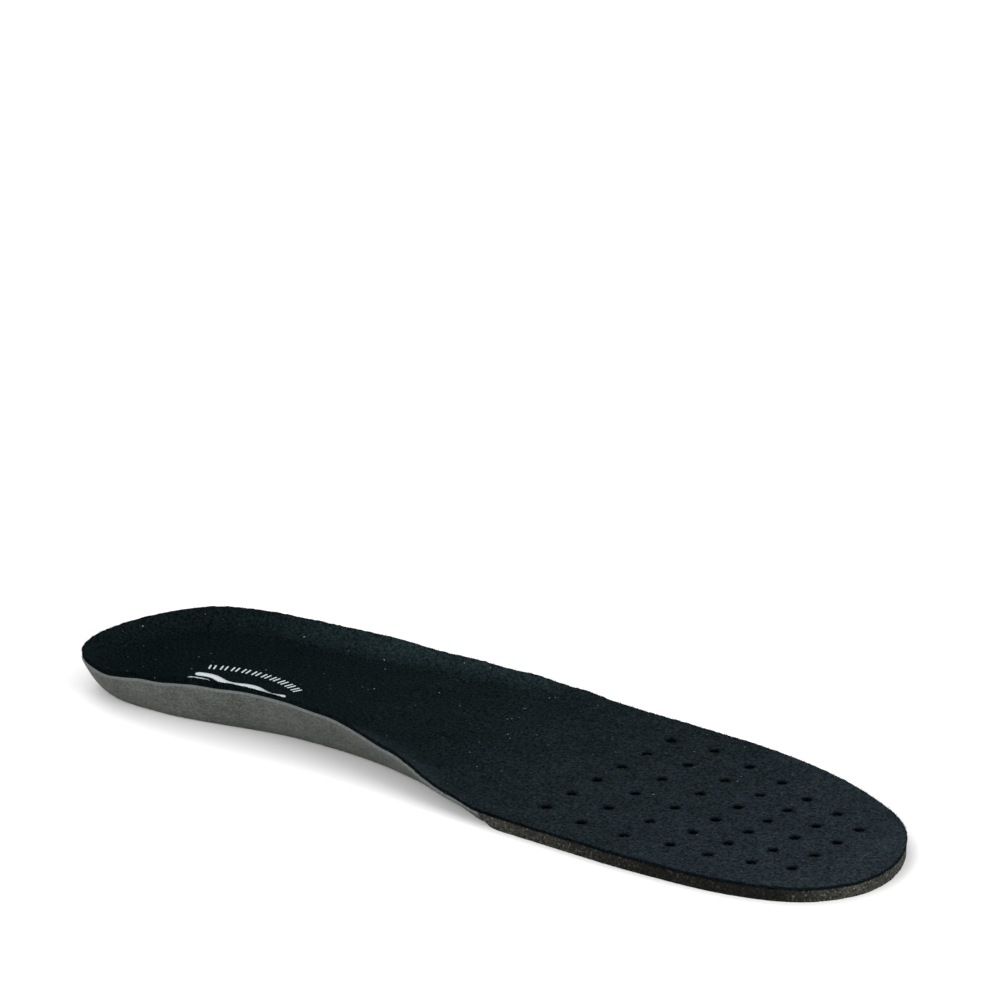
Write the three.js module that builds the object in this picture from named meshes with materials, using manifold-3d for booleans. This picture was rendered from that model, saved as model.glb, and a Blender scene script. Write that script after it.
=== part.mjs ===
// Cushioned insole for a left shoe: a perforated fabric top cover over a moulded foam heel and arch shell
// and a die-cut foam forefoot pad, with an air cushion in a pocket under the heel.
// Millimetres. X runs from the heel to the toe, +Y is the outer side of the foot, and Z is up.
// The outline starts at the back of the heel and runs along the inner side, round the toe and back.
import * as THREE from "three";
import { mergeVertices } from "three/addons/utils/BufferGeometryUtils.js";
import Module from "manifold-3d";

const wasm = await Module();
wasm.setup();

// Overall sizes
const insoleLength = 273;
const heelWidth = 64;
const waistWidth = 67;
const ballWidth = 90;
const heelRimHeight = 12.1;
const archRimHeight = 16.2;

// Thicknesses
const coverThickness = 0.8;
const forefootFoam = 3.2;
const heelFoam = 5.3;
const shellLip = 0.8;

// Clearances
const glueLine = 0.3;
const jointGap = 0.3;
const pocketClearance = 0.4;

// The joint between the moulded shell and the forefoot pad, as a share of the length
const jointShare = 0.585;
const padCornerRadius = 3.5;

// Slopes of the cup: how far the outer wall leans out over the base, and how far the inner wall runs in
const heelFlare = 6;
const archFlare = 9.6;
const heelWallRun = 9;
const archWallRun = 20;
const innerWallPower = 1.8;
const outerWallPower = 1.5;

// Perforations
const holeRadius = 0.9;
const holeSides = 8;

// Air cushion under the heel
const pocketLength = 50;
const pocketWidth = 37;
const pocketShare = 0.159;
const baseFilm = 0.5;
const baseRecess = 0.2;
const topFilm = 0.4;
const podRise = 1.5;
const podSpacing = 2.4;
const podEndMargin = 1.8;
const podSideMargin = 2.9;
const podRowCounts = [3, 4, 3];

// Print on the heel
const printThickness = 0.15;
const printShare = 0.191;
const printArcRadius = 38;
const printArcBand = 3;
const printArcHalfAngle = 0.5;
const printArcTop = 2.4;
const waveLength = 30;
const waveBand = 2.4;
const waveHeight = 0.9;
const waveCycles = 2;
const waveCount = 2;
const waveGap = 11.4;
const wavePitch = 4;

// How finely the outline, the walls and the small curves are stepped
const outlineSteps = 96;
const innerWallSteps = [0, 0.12, 0.3, 0.6, 1];
const outerWallSteps = [0, 0.2, 0.45, 0.75, 1];
const ovalSteps = 12;
const cornerSteps = 4;
const podSteps = 3;
const podSides = 12;
const waveSteps = 24;

const forefootTop = forefootFoam + glueLine + coverThickness;
const heelTop = heelFoam + glueLine + coverThickness;
const jointX = jointShare * insoleLength;
const pocketX = pocketShare * insoleLength;
const printX = printShare * insoleLength;

// The cushion's films fill the pocket, and its pods fill the films
const pocketDepth = baseRecess + baseFilm + topFilm + podRise + glueLine;
const filmLength = pocketLength - 2 * pocketClearance;
const filmWidth = pocketWidth - 2 * pocketClearance;
const podPitch = (filmLength - 2 * podEndMargin + podSpacing) / Math.max(...podRowCounts);
const podRadius = (podPitch - podSpacing) / 2;
const podRowPitch = (filmWidth - 2 * podSideMargin - 2 * podRadius) / (podRowCounts.length - 1);

// The outline from above: [share of the length, the width it follows, share of that width]
const outlineStations = [
  [0, heelWidth, -0.148],
  [0.018, heelWidth, -0.36],
  [0.067, heelWidth, -0.485],
  [0.14, heelWidth, -0.505],
  [0.3, waistWidth, -0.427],
  [0.399, waistWidth, -0.445],
  [0.483, waistWidth, -0.52],
  [0.568, ballWidth, -0.442],
  [0.667, ballWidth, -0.463],
  [0.786, ballWidth, -0.476],
  [0.895, ballWidth, -0.45],
  [0.964, ballWidth, -0.365],
  [0.998, ballWidth, -0.22],
  [1, ballWidth, -0.03],
  [0.96, ballWidth, 0.205],
  [0.875, ballWidth, 0.373],
  [0.766, ballWidth, 0.478],
  [0.627, ballWidth, 0.519],
  [0.538, ballWidth, 0.524],
  [0.4435, waistWidth, 0.662],
  [0.349, waistWidth, 0.59],
  [0.181, heelWidth, 0.53],
  [0.098, heelWidth, 0.478],
  [0.045, heelWidth, 0.37],
  [0.01, heelWidth, 0.14],
];

// Tables along the length: [share of the length, value]
const innerRimRise = [[0, 0.55], [0.07, 0.56], [0.136, 0.79], [0.2, 0.99], [0.25, 1.03], [0.3, 1],
  [0.35, 0.93], [0.449, 0.61], [0.538, 0.18], [0.583, 0.02], [0.623, 0], [1, 0]];
const outerRimRise = [[0, 0.83], [0.078, 0.98], [0.167, 1], [0.256, 0.96], [0.355, 0.74], [0.425, 0.53],
  [0.484, 0.3], [0.538, 0.07], [0.574, 0], [1, 0]];
const innerFlare = [[0, 1.25 * heelFlare], [0.137, heelFlare], [0.306, archFlare], [0.445, archFlare],
  [0.534, 0.8 * archFlare], [jointShare, 0.3 * archFlare], [1, 0.3 * archFlare]];
const outerFlare = [[0, heelFlare], [0.335, 0.9 * heelFlare], [0.554, 0.15 * heelFlare],
  [1, 0.15 * heelFlare]];
const innerWallRun = [[0, heelWallRun], [0.206, heelWallRun], [0.306, 0.9 * archWallRun],
  [0.405, archWallRun], [0.564, heelWallRun], [1, heelWallRun]];
const floorFall = [[0, 0], [0.316, 0], [0.425, 0.5], [0.544, 1], [1, 1]];

// Rows of perforations: [share of the length, number of holes, first hole, last hole], the holes placed
// across as shares of the ball width
const perforationRows = [
  [0.636, 6, -0.303, 0.372],
  [0.688, 6, -0.339, 0.38],
  [0.742, 6, -0.346, 0.336],
  [0.793, 6, -0.323, 0.286],
  [0.838, 6, -0.319, 0.221],
  [0.884, 5, -0.292, 0.178],
  [0.925, 4, -0.257, 0.111],
];

function valueAt(table, share) {
  const next = table.findIndex(([station]) => station > share);
  if (next < 0) return table.at(-1)[1];
  if (next === 0) return table[0][1];
  const [[from, low], [to, high]] = [table[next - 1], table[next]];
  return THREE.MathUtils.lerp(low, high, THREE.MathUtils.smoothstep(share, from, to));
}

// Points around the outline, each with its inward direction and the side of the foot it is on
function outlinePoints() {
  const corners = outlineStations.map(([share, width, across]) =>
    new THREE.Vector3(share * insoleLength, width * across, 0));
  const curve = new THREE.CatmullRomCurve3(corners, true, "centripetal");
  return Array.from({ length: outlineSteps }, (_, i) => {
    const point = curve.getPointAt(i / outlineSteps);
    const along = curve.getTangentAt(i / outlineSteps);
    return { x: point.x, y: point.y, inX: -along.y, inY: along.x, inner: i < outlineSteps / 2 };
  });
}

const outline = outlinePoints();

// What the cup does at one point of the outline
function cupAt({ x, inner }) {
  const share = x / insoleLength;
  const rise = inner
    ? valueAt(innerRimRise, share) * (archRimHeight - forefootTop)
    : valueAt(outerRimRise, share) * (heelRimHeight - forefootTop);
  return {
    rim: forefootTop + Math.max(rise, 0),
    flare: valueAt(inner ? innerFlare : outerFlare, share),
    run: inner ? valueAt(innerWallRun, share) : heelWallRun,
  };
}

const floorAt = (x) => THREE.MathUtils.lerp(heelTop, forefootTop, valueAt(floorFall, x / insoleLength));

// One ring of points inside the outline, at a share of the inner wall's run and under a layer of material
function upperRing(share, layer) {
  return outline.map((point) => {
    const { rim, run } = cupAt(point);
    const x = point.x + point.inX * run * share;
    const y = point.y + point.inY * run * share;
    const floor = floorAt(x);
    const rise = Math.max(rim - floor, 0);
    const slope = (innerWallPower * rise * (1 - share) ** (innerWallPower - 1)) / run;
    const top = floor + rise * (1 - share) ** innerWallPower;
    return new THREE.Vector3(x, y, top - layer * Math.hypot(1, slope));
  });
}

// One ring of the shell's outer wall, at a share of its flare, from the lip down to the base
function lowerRing(share) {
  const lip = upperRing(0, coverThickness + glueLine);
  return outline.map((point, i) => {
    const { flare } = cupAt(point);
    const height = (lip[i].z - shellLip) * (1 - share) ** outerWallPower;
    const inset = flare * share;
    return new THREE.Vector3(point.x + point.inX * inset, point.y + point.inY * inset, height);
  });
}

// A closed body between an upper and a lower run of rings, each from the edge inwards.
// The two runs are split along the same diagonals, so that bodies stacked on each other stay parallel.
function bodyBetween(upper, lower) {
  const rings = [...upper.toReversed(), ...lower];
  const count = outlineSteps;
  const vertices = rings.flat();
  const faces = [];
  for (let r = 0; r + 1 < rings.length; r++) {
    for (let i = 0; i < count; i++) {
      const a = r * count + i;
      const b = r * count + ((i + 1) % count);
      const [c, d] = [a + count, b + count];
      faces.push(...(r < upper.length - 1 ? [a, c, d, a, d, b] : [a, c, b, b, c, d]));
    }
  }
  const last = (rings.length - 1) * count;
  for (let i = 0; i < count / 2; i++) {
    const far = (count - i) % count;
    const farNext = count - i - 1;
    for (const [start, up] of [[0, true], [last, false]]) {
      const quad = [start + i, start + i + 1, start + farNext, start + far];
      const triangles = [[quad[0], quad[1], quad[2]], [quad[0], quad[2], quad[3]]];
      for (const t of triangles) {
        if (new Set(t).size === 3) faces.push(...(up ? t : t.toReversed()));
      }
    }
  }
  const geometry = new THREE.BufferGeometry().setFromPoints(vertices);
  geometry.setIndex(faces);
  return geometry;
}

function toSolid(geometry) {
  const bare = geometry.clone();
  bare.deleteAttribute("normal");
  bare.deleteAttribute("uv");
  const merged = mergeVertices(bare, 1e-4);
  return new wasm.Manifold(new wasm.Mesh({
    numProp: 3,
    vertProperties: new Float32Array(merged.attributes.position.array),
    triVerts: new Uint32Array(merged.index.array),
  }));
}

function toGeometry(solid) {
  const mesh = solid.getMesh();
  const geometry = new THREE.BufferGeometry();
  geometry.setAttribute("position", new THREE.BufferAttribute(mesh.vertProperties, 3));
  geometry.setIndex(new THREE.BufferAttribute(mesh.triVerts, 1));
  geometry.computeVertexNormals();
  return geometry;
}

const joined = (solids) => solids.reduce((all, solid) => all.add(solid));

// A plate with an outline in the XY plane, from a base height up
function plate(shape, base, thickness, curveSegments = ovalSteps) {
  const geometry = new THREE.ExtrudeGeometry(shape, { depth: thickness, bevelEnabled: false, curveSegments });
  return toSolid(geometry.translate(0, 0, base));
}

function blockBeyondJoint(front) {
  const size = 2 * insoleLength;
  const edge = jointX + (front ? jointGap / 2 : -jointGap / 2);
  const box = new THREE.BoxGeometry(size, size, size);
  return toSolid(box.translate(edge + (front ? size / 2 : -size / 2), 0, 0));
}

// Pins through every layer, one at each perforation
function perforations() {
  const depth = 4 * forefootTop;
  return joined(perforationRows.flatMap(([share, count, first, last]) =>
    Array.from({ length: count }, (_, i) => {
      const across = THREE.MathUtils.lerp(first, last, i / (count - 1)) * ballWidth;
      const pin = new THREE.CylinderGeometry(holeRadius, holeRadius, depth, holeSides);
      return toSolid(pin.rotateX(Math.PI / 2).translate(share * insoleLength, across, 0));
    })));
}

function coverSolid() {
  const upper = innerWallSteps.map((share) => upperRing(share, 0));
  const lower = innerWallSteps.map((share) => upperRing(share, coverThickness));
  return toSolid(bodyBetween(upper, lower)).subtract(perforations());
}

// A stadium shape around the middle of the heel, smaller than the pocket by an inset
function heelOval(inset) {
  const radius = pocketWidth / 2 - inset;
  const reach = (pocketLength - pocketWidth) / 2;
  const shape = new THREE.Shape();
  shape.absarc(pocketX + reach, 0, radius, -Math.PI / 2, Math.PI / 2);
  shape.absarc(pocketX - reach, 0, radius, Math.PI / 2, (3 * Math.PI) / 2);
  return shape;
}

function shellSolid() {
  const upper = innerWallSteps.map((share) => upperRing(share, coverThickness + glueLine));
  const lower = outerWallSteps.map((share) => lowerRing(share));
  const pocket = plate(heelOval(0), -pocketDepth, 2 * pocketDepth);
  const body = toSolid(bodyBetween(upper, lower)).intersect(blockBeyondJoint(false));
  return body.subtract(pocket).subtract(perforations());
}

// The forefoot pad's outline: straight across at the joint, with a round corner on the inner side
function padShape() {
  const rear = jointX + jointGap / 2;
  const front = outline.filter(({ x }) => x > rear + padCornerRadius);
  const first = front[0];
  const last = front.at(-1);
  const shape = new THREE.Shape();
  shape.moveTo(rear, last.y);
  shape.lineTo(rear, first.y + padCornerRadius);
  shape.quadraticCurveTo(rear, first.y, first.x, first.y);
  for (const { x, y } of front.slice(1)) shape.lineTo(x, y);
  return shape;
}

function padSolid() {
  return plate(padShape(), 0, forefootFoam, cornerSteps).subtract(perforations());
}

function podCentres() {
  return podRowCounts.flatMap((count, row) =>
    Array.from({ length: count }, (_, i) => ({
      x: pocketX + (i - (count - 1) / 2) * podPitch,
      y: (row - (podRowCounts.length - 1) / 2) * podRowPitch,
    })));
}

// A low dome standing on a base height, with a short foot below it
function dome(x, y, base, radius, rise, foot) {
  const sphere = (radius * radius + rise * rise) / (2 * rise);
  const profile = [new THREE.Vector2(0, -foot), new THREE.Vector2(radius, -foot)];
  for (let i = 0; i < podSteps; i++) {
    const across = radius * Math.cos((i / podSteps) * (Math.PI / 2));
    profile.push(new THREE.Vector2(across, rise - sphere + Math.sqrt(sphere * sphere - across * across)));
  }
  profile.push(new THREE.Vector2(0, rise));
  const geometry = new THREE.LatheGeometry(profile, podSides);
  return toSolid(geometry.rotateX(Math.PI / 2).translate(x, y, base));
}

const baseFilmTop = baseRecess + baseFilm;

function baseFilmSolid() {
  return plate(heelOval(pocketClearance), baseRecess, baseFilm);
}

function topFilmSolid() {
  const flangeTop = baseFilmTop + topFilm;
  const flange = plate(heelOval(pocketClearance), baseFilmTop, topFilm);
  const outside = podCentres().map(({ x, y }) => dome(x, y, flangeTop, podRadius, podRise, topFilm / 2));
  const inside = podCentres().map(({ x, y }) =>
    dome(x, y, baseFilmTop, podRadius - topFilm, podRise, topFilm));
  return joined([flange, ...outside]).subtract(joined(inside));
}

function printArc() {
  const centreY = printArcTop - printArcRadius;
  const middle = Math.PI / 2;
  const shape = new THREE.Shape();
  shape.absarc(printX, centreY, printArcRadius, middle - printArcHalfAngle, middle + printArcHalfAngle);
  shape.absarc(printX, centreY, printArcRadius - printArcBand,
    middle + printArcHalfAngle, middle - printArcHalfAngle, true);
  return plate(shape, heelTop, printThickness);
}

// One wave bar, counted from the arc outwards
function printWave(index) {
  const middleY = printArcTop - waveGap - index * wavePitch;
  const crest = (i) => middleY + waveHeight * Math.sin((i / waveSteps) * waveCycles * 2 * Math.PI);
  const along = (i) => printX + (i / waveSteps - 0.5) * waveLength;
  const shape = new THREE.Shape();
  shape.moveTo(along(0), crest(0) - waveBand / 2);
  for (let i = 1; i <= waveSteps; i++) shape.lineTo(along(i), crest(i) - waveBand / 2);
  for (let i = waveSteps; i >= 0; i--) shape.lineTo(along(i), crest(i) + waveBand / 2);
  return plate(shape, heelTop, printThickness);
}

const finishes = {
  fabric: { color: 0x1b262a, roughness: 0.95, metalness: 0 },
  mouldedFoam: { color: 0x4b504f, roughness: 0.8, metalness: 0 },
  cutFoam: { color: 0x2e302c, roughness: 0.95, metalness: 0 },
  film: { color: 0x6d7678, roughness: 0.35, metalness: 0 },
  print: { color: 0xc9d2d4, roughness: 0.6, metalness: 0 },
};

const insole = new THREE.Group();

function addPiece(name, solid, finish) {
  const mesh = new THREE.Mesh(toGeometry(solid), new THREE.MeshStandardMaterial(finishes[finish]));
  mesh.name = name;
  insole.add(mesh);
}

addPiece("top_cover", coverSolid(), "fabric");
addPiece("footbed_shell", shellSolid(), "mouldedFoam");
addPiece("forefoot_pad", padSolid(), "cutFoam");
addPiece("air_cushion_base_film", baseFilmSolid(), "film");
addPiece("air_cushion_top_film", topFilmSolid(), "film");
addPiece("heel_print_arc", printArc(), "print");
for (let i = 0; i < waveCount; i++) addPiece(`heel_print_wave_${i + 1}`, printWave(i), "print");

// The origin is on the ground under the middle of the whole insole
const extent = new THREE.Box3().setFromObject(insole);
const middle = extent.getCenter(new THREE.Vector3());
insole.position.set(-middle.x, -middle.y, -extent.min.z);

export default insole;
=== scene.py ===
import bpy
import bmesh
import math
import random
from mathutils import Matrix, Vector, noise


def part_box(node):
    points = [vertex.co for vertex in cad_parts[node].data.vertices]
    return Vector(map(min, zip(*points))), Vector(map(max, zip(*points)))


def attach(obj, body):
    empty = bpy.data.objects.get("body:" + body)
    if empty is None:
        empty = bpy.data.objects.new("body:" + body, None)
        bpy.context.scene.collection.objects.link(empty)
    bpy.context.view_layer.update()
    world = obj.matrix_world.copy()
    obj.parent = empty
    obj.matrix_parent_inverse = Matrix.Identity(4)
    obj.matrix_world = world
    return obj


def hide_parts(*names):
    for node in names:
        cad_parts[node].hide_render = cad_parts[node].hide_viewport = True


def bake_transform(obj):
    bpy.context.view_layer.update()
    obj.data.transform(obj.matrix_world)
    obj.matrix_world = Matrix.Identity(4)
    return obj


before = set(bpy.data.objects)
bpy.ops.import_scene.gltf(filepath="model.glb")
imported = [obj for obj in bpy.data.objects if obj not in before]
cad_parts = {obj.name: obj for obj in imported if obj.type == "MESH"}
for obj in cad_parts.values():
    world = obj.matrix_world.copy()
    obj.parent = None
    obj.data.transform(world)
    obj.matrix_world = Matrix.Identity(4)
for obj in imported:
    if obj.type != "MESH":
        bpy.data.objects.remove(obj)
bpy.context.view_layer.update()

MM = 0.001
HEEL_BODY = "heel_and_arch"

# Camera
AIM = Vector((-0.0137, 0.0181, 0.0697))
VIEW_AZIMUTH = math.radians(36)
VIEW_ELEVATION = math.radians(20)
VIEW_DISTANCE = 2.0
LENS = 255.08
NEAREST_SEEN = 0.05
FURTHEST_SEEN = 50

# Studio
FLOOR_SIZE = 6
LIGHT_AIM = Vector((0, 0, 0.01))
SOFTBOXES = [("left_softbox", (-1.6, 0.9, 1.5), (1.4, 1.4), 24),
             ("right_softbox", (2.0, -0.1, 0.8), (1.2, 1.2), 34),
             ("front_softbox", (-0.3, -2.0, 1.2), (1.6, 1.0), 30)]

# Heights and thicknesses, from the frame
PAD_LOW, PAD_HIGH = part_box("forefoot_pad")
COVER_LOW, COVER_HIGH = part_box("top_cover")
SHELL_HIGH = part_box("footbed_shell")[1]
ARC_LOW, ARC_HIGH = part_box("heel_print_arc")
FILM_LOW, FILM_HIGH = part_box("air_cushion_top_film")
BASE_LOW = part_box("air_cushion_base_film")[0]
COVER_THICKNESS = 0.8 * MM
GLUE_LINE = 0.3 * MM
FOAM_GAP = 0.08 * MM
UNDER_COVER = COVER_THICKNESS + FOAM_GAP
TOE_FLOOR = PAD_HIGH.z + COVER_THICKNESS + GLUE_LINE
HEEL_FLOOR = ARC_LOW.z
JOINT_X = (PAD_LOW.x + SHELL_HIGH.x) / 2
LENGTH = COVER_HIGH.x - COVER_LOW.x

# The rim and the walls of the cup
RIM_ROUND = 0.3 * MM
RIM_STRIP = 0.7 * MM
STRIP_LEAN = 0.35 * MM
HEEL_RUN = 9 * MM
ARCH_RUN = 20 * MM
HEEL_FLARE = 6 * MM
ARCH_FLARE = 9.6 * MM
INNER_POWER = 1.8
OUTER_POWER = 1.5

# Points nearer than this are one point
MERGE_DISTANCE = 1e-6

# Finding edges in the CAD meshes: how far up the normals of the faces beside them point
UPRIGHT = 0.02
RISING = 0.1
LEVEL = 0.9

# The largest radius that still counts as a hole
WIDEST_HOLE = 2 * MM

# How finely the outline is followed
CURVE_STEPS = 24
BESIDE_HEEL = 3
AROUND = 600

# Holes: their size, and how far around them the mesh is opened and joined again
HOLE_SIDES = 24
HOLE_RADIUS = 0.9 * MM
TORN_REACH = 2.4 * MM
REGION_HEIGHT = 0.6 * MM

# Tables along the length: (share of the length, value)
INNER_RUN = [(0, HEEL_RUN), (0.206, HEEL_RUN), (0.306, 0.9 * ARCH_RUN), (0.405, ARCH_RUN),
             (0.564, HEEL_RUN), (1, HEEL_RUN)]
INNER_FLARE = [(0, 1.1 * HEEL_FLARE), (0.137, HEEL_FLARE), (0.306, ARCH_FLARE), (0.445, ARCH_FLARE),
               (0.534, 0.8 * ARCH_FLARE), (0.585, 0.3 * ARCH_FLARE), (1, 0.3 * ARCH_FLARE)]
OUTER_FLARE = [(0, 1.1 * HEEL_FLARE), (0.335, 0.9 * HEEL_FLARE), (0.554, 0.15 * HEEL_FLARE),
               (1, 0.15 * HEEL_FLARE)]
STRIP_FADE = [(0, 1), (0.5, 1), (0.6, 0.4), (1, 0.4)]
FLOOR_FALL = [(0, 0), (0.316, 0), (0.425, 0.5), (0.544, 1), (1, 1)]


def at(table, share):
    """The value of a table at a share of the length, eased between its entries."""
    if share <= table[0][0]:
        return table[0][1]
    for (low, a), (high, b) in zip(table, table[1:]):
        if share < high:
            t = (share - low) / (high - low)
            return a + (b - a) * t * t * (3 - 2 * t)
    return table[-1][1]


# ---------------------------------------------------------------- outline

def cover_rim():
    """The upper edge of the CAD cover: its longest loop between a side face and a top face."""
    bm = bmesh.new()
    bm.from_mesh(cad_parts["top_cover"].data)
    bmesh.ops.remove_doubles(bm, verts=bm.verts, dist=MERGE_DISTANCE)
    bm.normal_update()

    def is_upper(edge):
        tilts = sorted(face.normal.z for face in edge.link_faces)
        return len(tilts) == 2 and abs(tilts[0]) < UPRIGHT and tilts[1] > RISING

    links = {}
    for edge in filter(is_upper, bm.edges):
        for vert in edge.verts:
            links.setdefault(vert, []).append(edge.other_vert(vert))
    loops, left = [], dict.fromkeys(links)
    while left:
        vert = next(iter(left))
        left.pop(vert)
        loop = [vert]
        while True:
            onward = [v for v in links[vert] if v in left]
            if not onward:
                break
            vert = onward[0]
            left.pop(vert)
            loop.append(vert)
        loops.append([v.co.copy() for v in loop])
    bm.free()
    return max(loops, key=lambda loop: max(p.x for p in loop) - min(p.x for p in loop))


def ordered(points):
    """The loop from the back of the heel, the inner side first."""
    start = min(range(len(points)), key=lambda i: points[i].x)
    points = points[start:] + points[:start]
    if points[BESIDE_HEEL].y > points[-BESIDE_HEEL].y:
        points = [points[0]] + points[:0:-1]
    return points


def evenly(points, count):
    """count points spread evenly along a smooth closed curve through the given ones."""
    fine = []
    for i in range(len(points)):
        a, b, c, d = (points[(i + k) % len(points)] for k in (-1, 0, 1, 2))
        for step in range(CURVE_STEPS):
            t = step / CURVE_STEPS
            fine.append(0.5 * (2 * b + (c - a) * t + (2 * a - 5 * b + 4 * c - d) * t * t
                               + (3 * b - a - 3 * c + d) * t ** 3))
    fine.append(fine[0].copy())
    travelled = [0.0]
    for a, b in zip(fine, fine[1:]):
        travelled.append(travelled[-1] + (b - a).length)
    spread, k = [], 0
    for i in range(count):
        goal = travelled[-1] * i / count
        while travelled[k + 1] < goal:
            k += 1
        share = (goal - travelled[k]) / (travelled[k + 1] - travelled[k])
        spread.append(fine[k].lerp(fine[k + 1], share))
    return spread


def share_of_length(x):
    """How far along the insole a place is, from 0 at the heel to 1 at the toes."""
    return (x - COVER_LOW.x) / LENGTH


class Station:
    """One point of the outline, with the cup's measures there."""

    def __init__(self, point, before, after, inner):
        along = after - before
        self.point = point
        self.inward = Vector((-along.y, along.x, 0)).normalized()
        self.share = share_of_length(point.x)
        self.run = at(INNER_RUN, self.share) if inner else HEEL_RUN
        self.flare = at(INNER_FLARE if inner else OUTER_FLARE, self.share)
        self.strip = at(STRIP_FADE, self.share)

    def inset(self, distance):
        return self.point + self.inward * distance


def stations(count):
    """Points spread along the whole outline."""
    points = evenly(RIM, count)
    toe = max(range(count), key=lambda i: points[i].x)
    return [Station(points[i], points[i - 1], points[(i + 1) % count], i <= toe)
            for i in range(count)]


def floor_height(x):
    """The height of the foot side inside the walls."""
    fall = at(FLOOR_FALL, share_of_length(x))
    return HEEL_FLOOR + (TOE_FLOOR - HEEL_FLOOR) * fall


def foot_side(station, distance, under=0.0):
    """A point of the foot side at a distance in from the outline, or under a layer of it."""
    place = station.inset(distance)
    floor = floor_height(place.x)
    rise = max(station.point.z - floor, 0)
    eased = distance if under else math.hypot(distance, RIM_ROUND) - RIM_ROUND
    left = 1 - min(eased / (station.run - (0 if under else RIM_ROUND)), 1)
    slope = INNER_POWER * rise * left ** (INNER_POWER - 1) / station.run
    place.z = floor + rise * left ** INNER_POWER - under * math.hypot(1, slope)
    return place


def across(places, share):
    """Points moved by a share of the way to the middle line between the two sides."""
    count = len(places)
    moved = []
    for i, place in enumerate(places):
        middle = (place + places[-i % count]) / 2
        moved.append(place.lerp(middle, share))
    return moved


def floor_rings(edge, shares, under):
    """Rings from an edge in to the middle line, at a depth under the foot side's floor."""
    rings = [across(edge, share) for share in shares]
    for ring in rings:
        for place in ring:
            place.z = floor_height(place.x) - under
    return rings


# ---------------------------------------------------------------- mesh helpers

def is_vert(item):
    return isinstance(item, bmesh.types.BMVert)


def loft(bm, rings, loop=None):
    """Extrudes a closed loop of edges along rings of as many points, and gives the faces of each step."""
    if loop is None:
        loop = ring_of_edges(bm, rings[0])
        rings = rings[1:]
    station = bm.verts.layers.int["station"]
    bands = []
    for ring in rings:
        made = bmesh.ops.extrude_edge_only(bm, edges=loop)["geom"]
        new_verts = set(filter(is_vert, made))
        for vert in new_verts:
            vert.co = ring[vert[station]]
        bands.append([f for f in made if isinstance(f, bmesh.types.BMFace)])
        loop = [e for e in made if isinstance(e, bmesh.types.BMEdge)
                and e.verts[0] in new_verts and e.verts[1] in new_verts]
    return bands, loop


def ring_of_edges(bm, points):
    """A loose closed loop through the points, each vertex knowing its place in it."""
    station = bm.verts.layers.int.get("station") or bm.verts.layers.int.new("station")
    verts = [bm.verts.new(p) for p in points]
    for i, vert in enumerate(verts):
        vert[station] = i
    return [bm.edges.new((verts[i - 1], verts[i])) for i in range(len(verts))]


def verts_of(bands):
    """The vertices of some bands of faces."""
    return {vert for band in bands for face in band for vert in face.verts}


def open_hole(bm, region, points):
    """Takes out the vertices inside a region and joins the torn edge to a clean loop of points."""
    bmesh.ops.delete(bm, geom=[v for v in bm.verts if region.holds(v.co)], context="VERTS")
    torn = [e for e in bm.edges
            if e.is_boundary and all(region.holds(v.co, TORN_REACH) for v in e.verts)]
    clean = ring_of_edges(bm, points)
    bmesh.ops.triangle_fill(bm, edges=torn + clean, normal=(0, 0, 1), use_beauty=True)
    return clean


class Region:
    """A round or stadium-shaped region at one height."""

    def __init__(self, centre, radius, half=0.0):
        self.centre = centre
        self.radius = radius
        self.half = half

    def holds(self, co, beyond=0.0):
        along = max(abs(co.x - self.centre.x) - self.half, 0)
        away = math.hypot(along, co.y - self.centre.y)
        return away < self.radius + beyond and abs(co.z - self.centre.z) < REGION_HEIGHT


def circle(centre, radius, z, count=HOLE_SIDES):
    """A level loop round a centre."""
    turns = [2 * math.pi * i / count for i in range(count)]
    return [Vector((centre.x + radius * math.cos(t), centre.y + radius * math.sin(t), z))
            for t in turns]


def stadium(centre, length, width, inset, z, count):
    """A loop round a stadium shape, drawn as a circle whose halves are slid apart."""
    radius = width / 2 - inset
    reach = (length - width) / 2
    return [p + Vector((math.copysign(reach, p.x - centre.x), 0, 0))
            for p in circle(centre, radius, z, count)]


def thicken(bm, thickness):
    """Gives a sheet its thickness straight down, and closes its edges."""
    made = bmesh.ops.extrude_face_region(bm, geom=bm.faces[:], use_keep_orig=True)["geom"]
    bmesh.ops.translate(bm, vec=(0, 0, -thickness), verts=[v for v in made if is_vert(v)])
    bmesh.ops.recalc_face_normals(bm, faces=bm.faces)


def waves(place, *layers):
    """Soft unevenness at a place, from layers of (size, height)."""
    return sum(noise.noise(place / size) * height for size, height in layers)


def finished(bm, name, materials):
    """Turns a bmesh into an object at the origin."""
    mesh = bpy.data.meshes.new(name)
    for face in bm.faces:
        face.smooth = True
    bm.to_mesh(mesh)
    bm.free()
    for material in materials:
        mesh.materials.append(material)
    piece = bpy.data.objects.new(name, mesh)
    bpy.context.scene.collection.objects.link(piece)
    return piece


# ---------------------------------------------------------------- materials

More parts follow.
